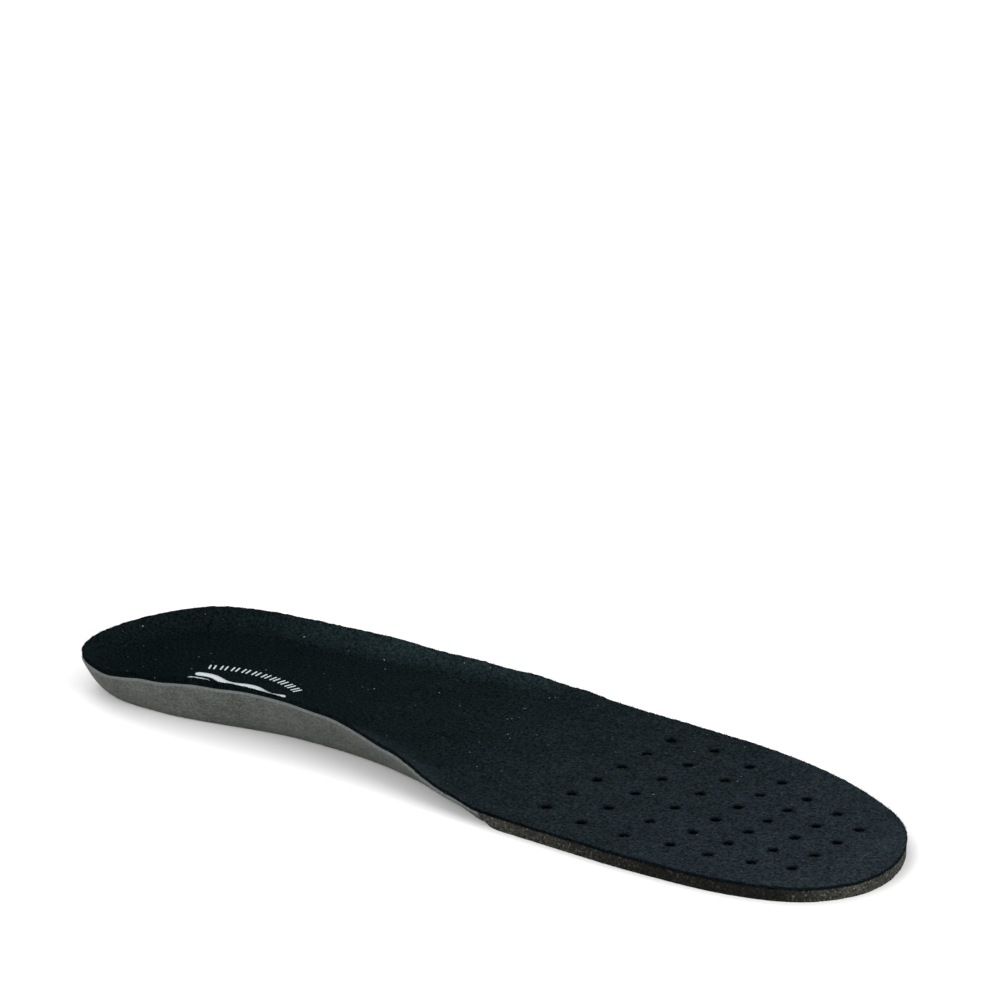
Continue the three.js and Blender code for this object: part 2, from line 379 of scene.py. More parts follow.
class Nodes:
    """A short way to write a material's node tree."""

    def __init__(self, name):
        self.material = bpy.data.materials.new(name)
        self.material.use_nodes = True
        self.tree = self.material.node_tree
        self.shader = self.tree.nodes["Principled BSDF"]
        self.place = self.add("ShaderNodeTexCoord").outputs["Object"]

    def add(self, kind, **values):
        node = self.tree.nodes.new(kind)
        for key, value in values.items():
            setattr(node, key, value)
        return node

    def join(self, source, socket):
        self.tree.links.new(source, socket)

    def noise(self, size, detail=3.0, roughness=0.6, stretch=(1, 1, 1), distortion=0.0):
        """Noise with features of about that size, from 0 to 1."""
        mapping = self.add("ShaderNodeMapping")
        mapping.inputs["Scale"].default_value = stretch
        self.join(self.place, mapping.inputs["Vector"])
        node = self.add("ShaderNodeTexNoise")
        node.inputs["Scale"].default_value = 1 / size
        node.inputs["Detail"].default_value = detail
        node.inputs["Roughness"].default_value = roughness
        node.inputs["Distortion"].default_value = distortion
        self.join(mapping.outputs["Vector"], node.inputs["Vector"])
        return node.outputs["Fac"]

    def cells(self, size):
        """The distance to the middle of the nearest cell, of about that size."""
        node = self.add("ShaderNodeTexVoronoi")
        node.inputs["Scale"].default_value = 1 / size
        self.join(self.place, node.inputs["Vector"])
        return node.outputs["Distance"]

    def ramp(self, source, stops):
        """Colours or grey levels by position, as (position, level or colour)."""
        node = self.add("ShaderNodeValToRGB")
        while len(node.color_ramp.elements) < len(stops):
            node.color_ramp.elements.new(0.5)
        for element, (position, colour) in zip(node.color_ramp.elements, stops):
            element.position = position
            level = (colour,) * 3 if isinstance(colour, (int, float)) else colour
            element.color = (*level, 1)
        self.join(source, node.inputs["Fac"])
        return node.outputs["Color"]

    def along(self, low, high):
        """The place along X, as a share from low to high."""
        parts = self.add("ShaderNodeSeparateXYZ")
        self.join(self.place, parts.inputs["Vector"])
        share = self.add("ShaderNodeMapRange")
        share.inputs["From Min"].default_value = low
        share.inputs["From Max"].default_value = high
        self.join(parts.outputs["X"], share.inputs["Value"])
        return share.outputs["Result"]

    def stored(self, name):
        """A level stored on the piece's vertices."""
        return self.add("ShaderNodeAttribute", attribute_name=name).outputs["Fac"]

    def mix(self, factor, a, b, blend="MIX"):
        """Two colours mixed or multiplied by a factor, each a value or a pattern."""
        node = self.add("ShaderNodeMix", data_type="RGBA", blend_type=blend)
        # A colour mix keeps its two colours in inputs 6 and 7 and its result in output 2
        for socket, value in zip((node.inputs[0], node.inputs[6], node.inputs[7]), (factor, a, b)):
            if isinstance(value, (int, float)):
                socket.default_value = value
            elif isinstance(value, tuple):
                socket.default_value = (*value, 1)
            else:
                self.join(value, socket)
        return node.outputs[2]

    def bump(self, height, distance, strength=1.0, under=None):
        """A surface raised by a pattern, over another one."""
        node = self.add("ShaderNodeBump")
        node.inputs["Distance"].default_value = distance
        node.inputs["Strength"].default_value = strength
        self.join(height, node.inputs["Height"])
        if under is not None:
            self.join(under, node.inputs["Normal"])
        return node.outputs["Normal"]

    def finish(self, colour, normal, roughness, **values):
        """The finished material, with the shader's other values by name."""
        self.join(colour, self.shader.inputs["Base Color"])
        if normal is not None:
            self.join(normal, self.shader.inputs["Normal"])
        self.shader.inputs["Roughness"].default_value = roughness
        for name, value in values.items():
            self.shader.inputs[name.replace("_", " ")].default_value = value
        return self.material


def brushed_fabric():
    """Short dark pile with paler tips and some lint; painted light makes it lighter to the toes and on
    leaning walls, painted shade darkens round the holes.
    """
    n = Nodes("brushed_fabric")
    painted_wall_light_gain = (2.4, 2.4, 2.4)
    painted_shade_and_dark_edge_tone = (0.0006, 0.0009, 0.0010)
    lint_tone = (0.13, 0.14, 0.13)
    share = n.along(COVER_LOW.x, COVER_HIGH.x)
    # Painted light: the pile and its tips are darker at the heel and lighter towards the toes
    pile = n.ramp(share, [(0.1, (0.0006, 0.0014, 0.0016)), (0.4, (0.0009, 0.0019, 0.0022)),
                          (0.75, (0.0020, 0.0035, 0.0048)), (1.0, (0.0031, 0.0052, 0.0068))])
    tips = n.ramp(share, [(0.1, (0.0062, 0.0106, 0.0112)), (0.4, (0.0094, 0.0152, 0.0164)),
                          (0.75, (0.0215, 0.0305, 0.0360)), (1.0, (0.0290, 0.0400, 0.0470))])
    nap = n.noise(0.8 * MM, 3.0, 0.8)
    clouds = n.ramp(n.noise(15 * MM, 3.0), [(0.3, 0.75), (0.7, 1.0)])
    colour = n.mix(n.ramp(nap, [(0.36, 0.0), (0.70, 1.0)]), pile, tips)
    colour = n.mix(1.0, colour, clouds, "MULTIPLY")
    # Painted light on the leaning walls, stored on the vertices
    painted_wall_light = n.mix(1.0, colour, painted_wall_light_gain, "MULTIPLY")
    colour = n.mix(n.stored("painted_wall_light"), colour, painted_wall_light)
    # Painted shade round the holes, and the darker cut edge
    colour = n.mix(n.stored("painted_hole_shade_and_dark_edge"), colour, painted_shade_and_dark_edge_tone)
    lint = n.ramp(n.noise(1.1 * MM, 1.0), [(0.77, 0.0), (0.80, 1.0)])
    colour = n.mix(lint, colour, lint_tone)
    normal = n.bump(n.noise(7 * MM, 2.0), 0.35 * MM, 0.5)
    normal = n.bump(nap, 0.3 * MM, 1.0, normal)
    return n.finish(colour, normal, 1.0, Specular_IOR_Level=0.0)


def moulded_skin():
    """The grey skin of the moulded foam, cloudy, finely speckled and a little creased."""
    n = Nodes("moulded_skin")
    shade, face = (0.025, 0.028, 0.026), (0.059, 0.064, 0.059)
    fleck = (0.143, 0.149, 0.130)
    speck = (0.018, 0.019, 0.018)
    clouds = n.ramp(n.noise(13 * MM, 5.0, 0.7, distortion=0.8), [(0.32, shade), (0.68, face)])
    grain = n.noise(0.8 * MM, 4.0, 0.85)
    colour = n.mix(n.ramp(grain, [(0.42, 0.0), (0.75, 0.8)]), clouds, fleck)
    colour = n.mix(n.ramp(grain, [(0.25, 0.6), (0.42, 0.0)]), colour, speck)
    creases = n.noise(9 * MM, 3.0, 0.6, stretch=(0.45, 0.45, 1.6), distortion=1.2)
    normal = n.bump(creases, 1.3 * MM, 0.8)
    normal = n.bump(grain, 0.2 * MM, 0.9, normal)
    return n.finish(colour, normal, 0.7, Specular_IOR_Level=0.15)


def painted_rim_highlight():
    """The paler strip along the rim: a painted highlight on the foam's edge, with grain."""
    n = Nodes("painted_rim_highlight")
    grain = n.noise(0.45 * MM, 4.0, 0.8)
    colour = n.ramp(grain, [(0.3, (0.034, 0.041, 0.040)), (0.7, (0.136, 0.153, 0.148))])
    return n.finish(colour, n.bump(grain, 0.2 * MM), 0.85)


def cut_foam():
    """Open cells with pale dust on them; painted shade darkens the middle of the pad's sides, and painted
    light brightens the dust at its ends.
    """
    n = Nodes("cut_foam")
    shade, face = (0.017, 0.0175, 0.015), (0.032, 0.032, 0.027)
    pore = (0.005, 0.005, 0.004)
    pores = n.cells(0.95 * MM)
    fine = n.cells(0.4 * MM)
    grain = n.noise(0.7 * MM, 4.0, 0.85)
    clouds = n.ramp(n.noise(15 * MM, 3.0), [(0.3, shade), (0.7, face)])
    colour = n.mix(n.ramp(pores, [(0.12, 1.0), (0.5, 0.0)]), clouds, pore)
    # Painted shade along the middle of the pad's sides, and painted light at both ends
    along = n.along(PAD_LOW.x, PAD_HIGH.x)
    painted_middle_shade = n.ramp(along, [(0.0, 1.0), (0.3, 0.5), (0.5, 0.16), (0.85, 0.14), (0.97, 1.0)])
    colour = n.mix(1.0, colour, painted_middle_shade, "MULTIPLY")
    dust_with_painted_light = n.ramp(along, [(0.0, (0.27, 0.27, 0.23)), (0.3, (0.20, 0.20, 0.17)),
                          (0.5, (0.085, 0.085, 0.07)), (0.85, (0.08, 0.08, 0.07)),
                          (0.97, (0.30, 0.30, 0.26))])
    colour = n.mix(n.ramp(grain, [(0.56, 0.0), (0.72, 0.9)]), colour, dust_with_painted_light)
    normal = n.bump(pores, 0.4 * MM)
    normal = n.bump(fine, 0.2 * MM, 0.9, normal)
    return n.finish(colour, normal, 0.95, Specular_IOR_Level=0.1)


def smoky_film():
    """Thin grey plastic film that lets some light through."""
    n = Nodes("smoky_film")
    clouds = n.noise(5 * MM, 3.0)
    colour = n.ramp(clouds, [(0.3, (0.20, 0.23, 0.24)), (0.7, (0.27, 0.30, 0.31))])
    normal = n.bump(clouds, 0.15 * MM, 0.5)
    return n.finish(colour, normal, 0.22, Transmission_Weight=0.45, IOR=1.46,
                    Coat_Weight=0.3, Coat_Roughness=0.15)


def print_ink():
    """Pale transfer ink, a little worn."""
    n = Nodes("print_ink")
    wear = n.noise(0.5 * MM, 5.0, 0.8)
    colour = n.ramp(wear, [(0.36, (0.22, 0.26, 0.27)), (0.5, (0.37, 0.42, 0.44))])
    return n.finish(colour, n.bump(wear, 0.08 * MM, 0.8), 0.6)


def floor_paint():
    """Matt pale paint."""
    n = Nodes("studio_floor")
    colour = n.ramp(n.noise(0.5, 1.0), [(0.3, 0.73), (0.7, 0.75)])
    return n.finish(colour, None, 0.9, Specular_IOR_Level=0.1)


# ---------------------------------------------------------------- the holes' places

def hole_centres():
    """The middle of each hole in the CAD pad, from the round edges on its upper face."""
    bm = bmesh.new()
    bm.from_mesh(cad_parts["forefoot_pad"].data)
    bmesh.ops.remove_doubles(bm, verts=bm.verts, dist=MERGE_DISTANCE)
    left = dict.fromkeys(v for v in bm.verts if v.co.z > (PAD_LOW.z + PAD_HIGH.z) / 2)
    centres = []
    while left:
        vert = next(iter(left))
        left.pop(vert)
        group, growing = [vert], [vert]
        while growing:
            near = growing.pop()
            for edge in near.link_edges:
                tilts = [abs(f.normal.z) for f in edge.link_faces]
                other = edge.other_vert(near)
                on_rim = len(tilts) == 2 and min(tilts) < UPRIGHT and max(tilts) > LEVEL
                if other in left and on_rim:
                    left.pop(other)
                    group.append(other)
                    growing.append(other)
        middle = sum((v.co for v in group), Vector()) / len(group)
        spread = max((v.co - middle).length for v in group)
        if spread < WIDEST_HOLE:
            centres.append(Vector((middle.x, middle.y, 0)))
    bm.free()
    return sorted(centres, key=lambda c: (round(c.x, 4), c.y))


# ---------------------------------------------------------------- the fabric cover

# Steps in from the cut edge, as shares of the last one
COVER_WALL = [0, 0.12, 0.3, 0.55, 0.9, 1.4, 2, 2.8, 3.8, 5, 6.4, 8, 10, 12.5, 15, 17.5, 20]
COVER_FLOOR_STEPS = 32
COVER_EDGE_STEPS = (0.25, 0.5, 0.75)
COVER_INSET = 0.05 * MM
FRAY = 0.16 * MM
RIPPLES = ((11 * MM, 0.10 * MM), (4 * MM, 0.035 * MM))

# The fabric is painted lighter where it leans, as painted light on the walls of the cup, darker along its
# cut edge, and painted with shade round the holes
PAINTED_WALL_LIGHT = [(0, 0.3), (0.1, 0.35), (0.2, 1), (1, 1)]
PAINTED_WALL_LIGHT_GAIN = 5.0
PAINTED_WALL_LIGHT_START = 0.1
CUT_DARKNESS = [(0, 0.25), (0.4, 0.35), (0.6, 0.75), (1, 0.75)]
HOLE_SHADE_REACH = 0.74
HOLE_SHADE_FADE = 0.38
HOLE_SHADE_POWER = 1.2

# Each hole sits in a dimple, given as (share of its radius, share of its depth)
DIMPLE_RADIUS = 3.1 * MM
DIMPLE_DEPTH = 0.76 * MM
DIMPLE_MOUTH = DIMPLE_RADIUS - 0.5 * MM
DIMPLE_PROFILE = [(0.76, 0.02), (0.66, 0.08), (0.57, 0.19), (0.48, 0.36),
                  (0.4, 0.56), (0.33, 0.76), (0.27, 0.92), (0.25, 1)]
DIMPLE_SIZE = 0.93

# The dimples change slowly from place to place, as (size of the pattern, amount)
SIZE_CHANGE = (5 * MM, 0.18)
LEAN_CHANGE = (7 * MM, 0.7 * MM)
LEAN_APART = Vector((0, 0, 35 * MM))
LEAN_START = 0.8


def make_cover(material):
    """The fabric: a closed loft over the cup, with a frayed edge and its holes pressed in, and painted
    shade round them.
    """
    around = stations(AROUND)

    def side(under):
        walls = [[foot_side(s, COVER_INSET + t / COVER_WALL[-1] * s.run, under) for s in around]
                 for t in COVER_WALL]
        shares = [step / COVER_FLOOR_STEPS for step in range(1, COVER_FLOOR_STEPS + 1)]
        return walls + floor_rings(walls[-1], shares, under)

    upper, lower = side(0), side(COVER_THICKNESS)
    edge = [[a.lerp(b, t) for a, b in zip(upper[0], lower[0])] for t in COVER_EDGE_STEPS]
    bm = bmesh.new()
    bands, _ = loft(bm, upper[::-1] + edge + lower)
    painted_hole_shade_and_dark_edge = bm.verts.layers.float.new("painted_hole_shade_and_dark_edge")
    painted_wall_light = bm.verts.layers.float.new("painted_wall_light")
    bm.normal_update()
    last_upper = len(upper) - 1
    # Painted light: faces that lean are made lighter, less so at the heel
    for vert in verts_of(bands[:last_upper]):
        lean = min(max(PAINTED_WALL_LIGHT_GAIN * (1 - abs(vert.normal.z)) - PAINTED_WALL_LIGHT_START, 0), 1)
        vert[painted_wall_light] = lean * at(PAINTED_WALL_LIGHT, share_of_length(vert.co.x))
    fray_edge(bm, verts_of(bands[last_upper:last_upper + len(edge) + 1]), painted_hole_shade_and_dark_edge, painted_wall_light)
    bmesh.ops.remove_doubles(bm, verts=bm.verts, dist=MERGE_DISTANCE)
    for centre in HOLES:
        press_hole(bm, centre, painted_hole_shade_and_dark_edge)
    bmesh.ops.remove_doubles(bm, verts=bm.verts, dist=MERGE_DISTANCE)
    for vert in bm.verts:
        flat = Vector((vert.co.x, vert.co.y, 0))
        vert.co.z += waves(flat, *RIPPLES)
    bmesh.ops.recalc_face_normals(bm, faces=bm.faces)
    return finished(bm, "fabric_cover", [material])


def fray_edge(bm, cut, painted_hole_shade_and_dark_edge, painted_wall_light):
    """Darkens the cut edge and moves its threads a little in and out, up and down."""
    fray = random.Random(4)
    for vert in (v for v in bm.verts if v in cut):
        vert[painted_hole_shade_and_dark_edge] = at(CUT_DARKNESS, share_of_length(vert.co.x))
        vert[painted_wall_light] = 0
        outward = Vector((vert.co.x, vert.co.y, 0)).normalized()
        vert.co += outward * fray.uniform(-FRAY, FRAY)
        vert.co.z += fray.uniform(-FRAY, FRAY)


def press_hole(bm, centre, painted_hole_shade_and_dark_edge):
    """One hole through both sides of the fabric, in a dimple that varies in size and lean, with painted
    shade round it.
    """
    z = floor_height(centre.x)
    loops = []
    for height in (z, z - COVER_THICKNESS):
        middle = Vector((centre.x, centre.y, height))
        mouth = circle(middle, DIMPLE_MOUTH, height)
        loops.append(open_hole(bm, Region(middle, DIMPLE_RADIUS), mouth))
    size = DIMPLE_SIZE + waves(centre, SIZE_CHANGE)
    lean = Vector((waves(centre, LEAN_CHANGE), waves(centre + LEAN_APART, LEAN_CHANGE), 0))
    dimple = [circle(centre + lean * (LEAN_START - radius), radius * size * DIMPLE_RADIUS,
                     z - depth * DIMPLE_DEPTH) for radius, depth in DIMPLE_PROFILE]
    bands, _ = loft(bm, dimple + [mouth], loops[0])
    # Painted shade in the dimple, darkest near the hole
    for vert in verts_of(bands):
        away = math.hypot(vert.co.x - centre.x, vert.co.y - centre.y) / DIMPLE_RADIUS
        vert[painted_hole_shade_and_dark_edge] = min(max((HOLE_SHADE_REACH - away) / HOLE_SHADE_FADE, 0), 1) ** HOLE_SHADE_POWER


# ---------------------------------------------------------------- the moulded shell

LIP_INSET = 0.02 * MM
SHELL_FLOOR_STEPS = (1, 0.85, 0.7, 0.55, 0.4, 0.25, 0.1)
SHELL_CUP_STEPS = (1, 0.8, 0.6, 0.42, 0.28, 0.16, 0.1)
SHELL_STRIP_STEPS = (0, 0.2, 0.45, 0.75, 0.95)
SHELL_WALL_STEPS = 24
SHELL_BASE_STEPS = (0.015, 0.03, 0.06, 0.1, 0.15, 0.2, 0.26, 0.32, 0.38, 0.45, 0.52, 0.6, 0.68, 0.76,
                    0.84, 0.92, 1)
SHELL_LUMPS = ((13 * MM, 0.16 * MM), (5 * MM, 0.05 * MM))
SHELL_FLAT = 0.4 * MM
JOINT_GAP = 0.1 * MM

# The pocket for the air cushion: its outline, and its profile as (inset, height)
CUSHION_CENTRE = (FILM_LOW + FILM_HIGH) / 2
CUSHION_CENTRE.z = 0
FILM_LENGTH = FILM_HIGH.x - FILM_LOW.x
FILM_WIDTH = FILM_HIGH.y - FILM_LOW.y
POCKET_PLAY = 0.8 * MM
POCKET_LENGTH = FILM_LENGTH + POCKET_PLAY
POCKET_WIDTH = FILM_WIDTH + POCKET_PLAY
POCKET_DEPTH = FILM_HIGH.z + GLUE_LINE
POCKET_MARGIN = 1.2 * MM
POCKET_SIDES = 144
POCKET_PROFILE = [(-0.5 * MM, 0), (-0.25 * MM, 0.08 * MM), (-0.06 * MM, 0.25 * MM), (0, 0.5 * MM),
                  (0, POCKET_DEPTH - 0.4 * MM), (0.4 * MM, POCKET_DEPTH)]


def make_shell(skin, rim):
    """The moulded heel and arch foam: one closed loft, cut off at the joint and pocketed underneath."""
    around = stations(AROUND)
    lips = [foot_side(s, LIP_INSET, COVER_THICKNESS + GLUE_LINE) for s in around]

    def top(share):
        return [foot_side(s, max(share * s.run, LIP_INSET), UNDER_COVER) for s in around]

    def outer(share):
        ring = []
        for s, lip in zip(around, lips):
            place = s.inset(s.flare * share)
            place.z = max(lip.z - RIM_STRIP * s.strip, 0) * (1 - share) ** OUTER_POWER
            ring.append(place)
        return ring

    def rim_strip_ring(share):
        lean = STRIP_LEAN * math.cos(share * math.pi / 2)
        return [s.inset(lean * s.strip)
                + Vector((0, 0, lip.z - s.point.z - RIM_STRIP * s.strip * share))
                for s, lip in zip(around, lips)]

    hidden = floor_rings(top(1), SHELL_FLOOR_STEPS, UNDER_COVER)
    hidden += [top(t) for t in SHELL_CUP_STEPS]
    strip = [rim_strip_ring(t) for t in SHELL_STRIP_STEPS]
    outers = [outer(t / SHELL_WALL_STEPS) for t in range(SHELL_WALL_STEPS + 1)]
    bases = [across(outers[-1], t) for t in SHELL_BASE_STEPS]
    bm = bmesh.new()
    bands, _ = loft(bm, hidden + strip + outers + bases)
    # The strip along the rim takes the painted highlight
    for band in bands[len(hidden) - 1:len(hidden) + len(strip)]:
        for face in band:
            face.material_index = 1
    bmesh.ops.remove_doubles(bm, verts=bm.verts, dist=MERGE_DISTANCE)
    for vert in bm.verts:
        if vert.co.z > SHELL_FLAT:
            vert.co += towards_middle(vert.co) * waves(vert.co, *SHELL_LUMPS)
    cut_at_joint(bm, keep_heel=True)
    pocket(bm)
    bmesh.ops.recalc_face_normals(bm, faces=bm.faces)
    return finished(bm, "moulded_shell", [skin, rim])


def towards_middle(co):
    """The direction across the foot to its middle line."""
    middle_y = (COVER_LOW.y + COVER_HIGH.y) / 2
    return Vector((0, 1 if co.y < middle_y else -1, 0))


def cut_at_joint(bm, keep_heel):
    """Cuts a foam straight across at the joint, keeps one end of it and closes the cut."""
    side = -1 if keep_heel else 1
    plane = Vector((JOINT_X + side * JOINT_GAP, 0, 0))
    bmesh.ops.bisect_plane(bm, geom=bm.verts[:] + bm.edges[:] + bm.faces[:], dist=MERGE_DISTANCE,
                           plane_co=plane, plane_no=(1, 0, 0), clear_outer=keep_heel,
                           clear_inner=not keep_heel)
    bmesh.ops.triangle_fill(bm, edges=[e for e in bm.edges if e.is_boundary], use_beauty=True)


def pocket(bm):
    """The recess for the air cushion, with a rounded mouth."""
    half = (POCKET_LENGTH - POCKET_WIDTH) / 2
    region = Region(CUSHION_CENTRE, POCKET_WIDTH / 2 + POCKET_MARGIN, half)
    mouth, *rings = [stadium(CUSHION_CENTRE, POCKET_LENGTH, POCKET_WIDTH, inset, z, POCKET_SIDES)
                     for inset, z in POCKET_PROFILE]
    _, loop = loft(bm, rings, open_hole(bm, region, mouth))
    bmesh.ops.triangle_fill(bm, edges=loop, use_beauty=True)


# ---------------------------------------------------------------- the forefoot foam

PAD_TOP = TOE_FLOOR - UNDER_COVER
PAD_INSET = 0.15 * MM
PAD_AROUND = 1800
PAD_ROWS = 12
PAD_RIM = 0.7 * MM
PAD_FLOOR_STEPS = 30
PAD_TORN_RADIUS = 1.9 * MM

# Its lower edge follows the shell's section at the joint, and this fades out towards the toes
NOTCH_LENGTH = 9 * MM
NOTCH_POWER = 1.3

# The open cells of the cut sides, and slower lumps
PAD_MIDDLE_X = 35 * MM
PORE_SIZE = 0.9 * MM
PORE_REACH = 0.5
PORE_DEPTH = 0.42 * MM
PAD_LUMPS = ((2.5 * MM, 0.12 * MM), (9 * MM, 0.12 * MM))


def pad_ring(around, inset, z):
    """The pad's outline at a height, cut back at the joint below its upper face."""
    ring = []
    for s in around:
        beyond = max(min((s.point.x - JOINT_X) / NOTCH_LENGTH, 1), 0)
        undercut = 1 - (z / PAD_TOP) ** (1 / OUTER_POWER)
        notch = s.flare * undercut * (1 - math.sin(beyond * math.pi / 2)) ** NOTCH_POWER
        place = s.inset(PAD_INSET + notch + inset)
        place.z = z
        ring.append(place)
    return ring


def make_pad(material):
    """The die-cut forefoot foam: rough cut sides, through holes and a rounded corner at the joint."""
    bm = bmesh.new()
    fine = stations(PAD_AROUND)
    wall = [pad_ring(fine, 0, PAD_TOP * (1 - i / PAD_ROWS)) for i in range(PAD_ROWS + 1)]
    _, lower_loop = loft(bm, wall)
    lower_edges = set(lower_loop)
    upper_loop = [e for e in bm.edges if e.is_boundary and e not in lower_edges]
    for vert in bm.verts:
        roughen(vert)
    coarse = stations(AROUND)
    for z, wall_loop in ((PAD_TOP, upper_loop), (0, lower_loop)):
        edge = pad_ring(coarse, PAD_RIM, z)
        flat_loop = ring_of_edges(bm, edge)
        inward = [across(edge, step / PAD_FLOOR_STEPS) for step in range(1, PAD_FLOOR_STEPS + 1)]
        loft(bm, inward, flat_loop)
        bmesh.ops.triangle_fill(bm, edges=wall_loop + flat_loop, normal=(0, 0, 1), use_beauty=True)
    bmesh.ops.remove_doubles(bm, verts=bm.verts, dist=MERGE_DISTANCE)
    cut_at_joint(bm, keep_heel=False)
    for centre in HOLES:
        loops = []
        for z in (PAD_TOP, 0):
            middle = Vector((centre.x, centre.y, z))
            loops.append(open_hole(bm, Region(middle, PAD_TORN_RADIUS), circle(middle, HOLE_RADIUS, z)))
        loft(bm, [circle(centre, HOLE_RADIUS, 0)], loops[0])
    bmesh.ops.remove_doubles(bm, verts=bm.verts, dist=MERGE_DISTANCE)
    bmesh.ops.recalc_face_normals(bm, faces=bm.faces)
    return finished(bm, "forefoot_foam", [material])


def roughen(vert):
    """Presses a cut foam surface in where its open cells are."""
    inward = (Vector((PAD_MIDDLE_X, 0, vert.co.z)) - vert.co).normalized()
    near = noise.voronoi(vert.co / PORE_SIZE)[0][0]
    pit = max(0.0, PORE_REACH - near) * PORE_DEPTH
    vert.co += inward * (pit + waves(vert.co, *PAD_LUMPS))


# ---------------------------------------------------------------- the air cushion

FILM_SIDES = 180
FILM_STEPS = 36
FILM_SPINE = 6.5 * MM
TOP_FILM_THICKNESS = 0.35 * MM
TOP_FILM_LIFT = 0.05 * MM
BASE_FILM_THICKNESS = 0.42 * MM
FILM_WAVES = ((6 * MM, 0.04 * MM),)
SEAM_REACH = 0.7 * MM
SEAM_RISE = 0.12 * MM

POD_RADIUS = 4.8 * MM
POD_RISE = 1.45 * MM
POD_FLATNESS = 2.4
POD_ROUNDNESS = 0.75
POD_PITCH = 12 * MM
POD_ROW_PITCH = 10.4 * MM
POD_ROWS = (3, 4, 3)
PODS = [Vector((CUSHION_CENTRE.x + (i - (count - 1) / 2) * POD_PITCH,
                CUSHION_CENTRE.y + (row - 1) * POD_ROW_PITCH, 0))
        for row, count in enumerate(POD_ROWS) for i in range(count)]


def away_from(pod, co):
    """The level distance from a pod's middle."""
    return math.hypot(co.x - pod.x, co.y - pod.y)


def pods(co):
    """How far the top film is drawn up."""
    height = 0
    for pod in PODS:
        away = away_from(pod, co) / POD_RADIUS
        if away < 1:
            height = POD_RISE * (1 - away ** POD_FLATNESS) ** POD_ROUNDNESS
    return height


def weld(co):
    """How far the base film is drawn in along the pods' welds, with a slight wave."""
    seam = max(1 - abs(away_from(pod, co) - POD_RADIUS) / SEAM_REACH for pod in PODS)
    return waves(co, *FILM_WAVES) - SEAM_RISE * max(seam, 0)


def film(name, low, thickness, shape, material):
    """A film lofted from its outline in to a short spine, shaped and then thickened."""
    bm = bmesh.new()
    edge = stadium(CUSHION_CENTRE, FILM_LENGTH, FILM_WIDTH, 0, 0, FILM_SIDES)
    left, right = CUSHION_CENTRE.x - FILM_SPINE, CUSHION_CENTRE.x + FILM_SPINE
    spine = [Vector((max(min(p.x, right), left), CUSHION_CENTRE.y, 0)) for p in edge]
    loft(bm, [[p.lerp(q, step / FILM_STEPS) for p, q in zip(edge, spine)]
              for step in range(FILM_STEPS + 1)])
    bmesh.ops.remove_doubles(bm, verts=bm.verts, dist=MERGE_DISTANCE)
    for vert in bm.verts:
        vert.co.z = low + thickness + shape(vert.co)
    thicken(bm, thickness)
    return finished(bm, name, [material])


def make_films(material):
    """The air cushion: a flat base film and a top film drawn up into pods."""
    top_film = film("cushion_top_film", FILM_LOW.z + TOP_FILM_LIFT, TOP_FILM_THICKNESS, pods, material)
    base_film = film("cushion_base_film", BASE_LOW.z, BASE_FILM_THICKNESS, weld, material)
    return top_film, base_film


# ---------------------------------------------------------------- the heel print

ARC_RADIUS = 38 * MM
ARC_BAND = 3.0 * MM
ARC_HALF_ANGLE = 0.48
DASHES = 10
DASH_REACH = 1.25 * MM
DASH_WIDTH = 0.5 * MM
DASH_GAP = 0.02
WAVE_LENGTH = 30 * MM
WAVE_BAND = 2.4 * MM
WAVE_HEIGHT = 0.9 * MM
WAVE_CRESTS = 2
WAVE_STEPS = 48
INK_LIFT = 0.10 * MM
INK_THICKNESS = 0.12 * MM
END_SIDES = 8


def make_print(material):
    """The transfer print: an arc of paired short bars over two wavy bands."""
    bm = bmesh.new()
    centre_x = (ARC_LOW.x + ARC_HIGH.x) / 2
    centre_y = ARC_HIGH.y - ARC_RADIUS
    radius = ARC_RADIUS - ARC_BAND / 2
    for i in range(DASHES):
        angle = math.pi / 2 + ARC_HALF_ANGLE * (1 - 2 * (i + 0.5) / DASHES)
        for turn in (angle - DASH_GAP, angle + DASH_GAP):
            points = []
            for reach in (radius - DASH_REACH, radius + DASH_REACH):
                points.append(Vector((centre_x + reach * math.cos(turn),
                                      centre_y + reach * math.sin(turn), 0)))
            stroke(bm, points, DASH_WIDTH / 2)
    for wave in ("heel_print_wave_1", "heel_print_wave_2"):
        low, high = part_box(wave)
        middle = (low + high) / 2
        points = []
        for i in range(WAVE_STEPS + 1):
            share = i / WAVE_STEPS
            rise = WAVE_HEIGHT * math.sin(share * 2 * math.pi * WAVE_CRESTS)
            points.append(Vector((middle.x + (share - 0.5) * WAVE_LENGTH, middle.y + rise, 0)))
        stroke(bm, points, WAVE_BAND / 2)
    for vert in bm.verts:
        vert.co.z = floor_height(vert.co.x) + INK_LIFT + waves(vert.co, RIPPLES[0])
    thicken(bm, INK_THICKNESS)
    return finished(bm, "heel_print", [material])


def stroke(bm, points, half_width):
    """A flat band along the points, with round ends."""
    left, right = [], []
    for i, point in enumerate(points):
        along = (points[min(i + 1, len(points) - 1)] - points[max(i - 1, 0)]).normalized()
        side = Vector((-along.y, along.x, 0)) * half_width
        left.append(point + side)
        right.append(point - side)
    ends = []
    for end, start in ((points[-1], left[-1] - points[-1]), (points[0], right[0] - points[0])):
        turn = math.atan2(start.y, start.x)
        ends.append([end + Vector((math.cos(turn - a), math.sin(turn - a), 0)) * half_width
                     for a in (math.pi * k / END_SIDES for k in range(1, END_SIDES))])
    outline = left + ends[0] + right[::-1] + ends[1]
    face = bm.faces.new([bm.verts.new(p) for p in outline])
    face.normal_update()
    if face.normal.z < 0:
        face.normal_flip()
    bmesh.ops.triangulate(bm, faces=[face])


# ---------------------------------------------------------------- loose fibres

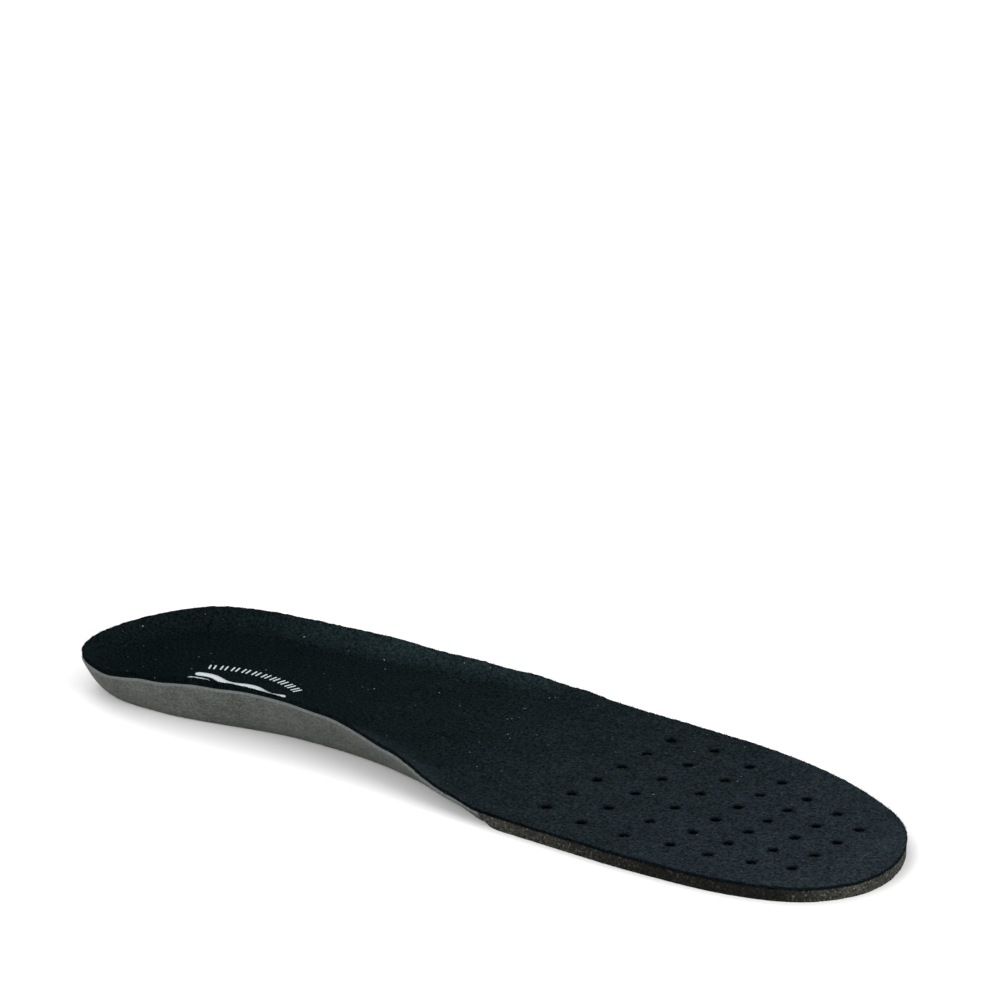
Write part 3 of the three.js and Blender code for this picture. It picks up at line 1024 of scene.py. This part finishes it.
FIBRE_AROUND = 1500
FIBRES_EACH = 2
FIBRE_INSET = (0.05 * MM, 0.4 * MM)
FIBRE_DROP = (0, 0.35 * MM)
FIBRE_OUTWARD = (-0.2, 0.9)
FIBRE_SWAY = (-0.8, 0.8)
FIBRE_UPWARD = 0.9
FIBRE_LENGTH = (0.35 * MM, 0.95 * MM)
FIBRE_RADIUS = (0.05 * MM, 0.1 * MM)


def make_fibres(material):
    """Short loose fibres along the cut edge of the cover."""
    draw = random.Random(11)
    bm = bmesh.new()
    for s in stations(FIBRE_AROUND):
        for _ in range(FIBRES_EACH):
            root = foot_side(s, draw.uniform(*FIBRE_INSET))
            root.z -= draw.uniform(*FIBRE_DROP)
            lean = -s.inward * draw.uniform(*FIBRE_OUTWARD)
            lean += Vector((draw.uniform(*FIBRE_SWAY), draw.uniform(*FIBRE_SWAY), FIBRE_UPWARD))
            tip = root + lean.normalized() * draw.uniform(*FIBRE_LENGTH)
            fibre(bm, root, tip, draw.uniform(*FIBRE_RADIUS))
    return finished(bm, "edge_fibres", [material])


def fibre(bm, root, tip, radius):
    """A thin three-sided spike."""
    along = tip - root
    place = Matrix.Translation((root + tip) / 2) @ along.to_track_quat("Z", "Y").to_matrix().to_4x4()
    bmesh.ops.create_cone(bm, cap_ends=True, segments=3, radius1=radius, radius2=0,
                          depth=along.length, matrix=place)


# ---------------------------------------------------------------- camera, floor and light

def make_camera():
    data = bpy.data.cameras.new("camera")
    data.lens = LENS
    data.clip_start = NEAREST_SEEN
    data.clip_end = FURTHEST_SEEN
    camera = bpy.data.objects.new("camera", data)
    back = Vector((math.sin(VIEW_AZIMUTH) * math.cos(VIEW_ELEVATION),
                   -math.cos(VIEW_AZIMUTH) * math.cos(VIEW_ELEVATION), math.sin(VIEW_ELEVATION)))
    camera.location = AIM + back * VIEW_DISTANCE
    camera.rotation_euler = (math.pi / 2 - VIEW_ELEVATION, 0, VIEW_AZIMUTH)
    bpy.context.scene.collection.objects.link(camera)
    bpy.context.scene.camera = camera


def make_floor():
    bm = bmesh.new()
    bmesh.ops.create_grid(bm, x_segments=1, y_segments=1, size=FLOOR_SIZE)
    floor = finished(bm, "studio_floor", [floor_paint()])


def softbox(name, place, size, power):
    """A soft rectangular light that points at the insole."""
    data = bpy.data.lights.new(name, "AREA")
    data.shape = "RECTANGLE"
    data.size, data.size_y = size
    data.energy = power
    light = bpy.data.objects.new(name, data)
    light.location = place
    light.rotation_euler = (LIGHT_AIM - Vector(place)).to_track_quat("-Z", "Y").to_euler()
    bpy.context.scene.collection.objects.link(light)


def make_light():
    world = bpy.data.worlds.new("studio")
    world.use_nodes = True
    background = world.node_tree.nodes["Background"]
    background.inputs["Color"].default_value = (1, 1, 1, 1)
    background.inputs["Strength"].default_value = 1.0
    bpy.context.scene.world = world
    for box in SOFTBOXES:
        softbox(*box)
    bpy.context.scene.view_settings.view_transform = "Standard"


# ---------------------------------------------------------------- the insole

make_camera()
make_floor()
make_light()

RIM = ordered(cover_rim())
HOLES = hole_centres()

fabric = brushed_fabric()
cover = make_cover(fabric)
shell = make_shell(moulded_skin(), painted_rim_highlight())
pad = make_pad(cut_foam())
top_film, base_film = make_films(smoky_film())
heel_print = make_print(print_ink())
fibres = make_fibres(fabric)

for piece in (cover, shell, pad, fibres):
    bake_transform(piece)
for piece in (top_film, base_film, heel_print):
    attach(piece, HEEL_BODY)

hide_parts("top_cover")
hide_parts("footbed_shell")
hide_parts("forefoot_pad")
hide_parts("air_cushion_top_film")
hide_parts("air_cushion_base_film")
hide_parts("heel_print_arc", "heel_print_wave_1", "heel_print_wave_2")
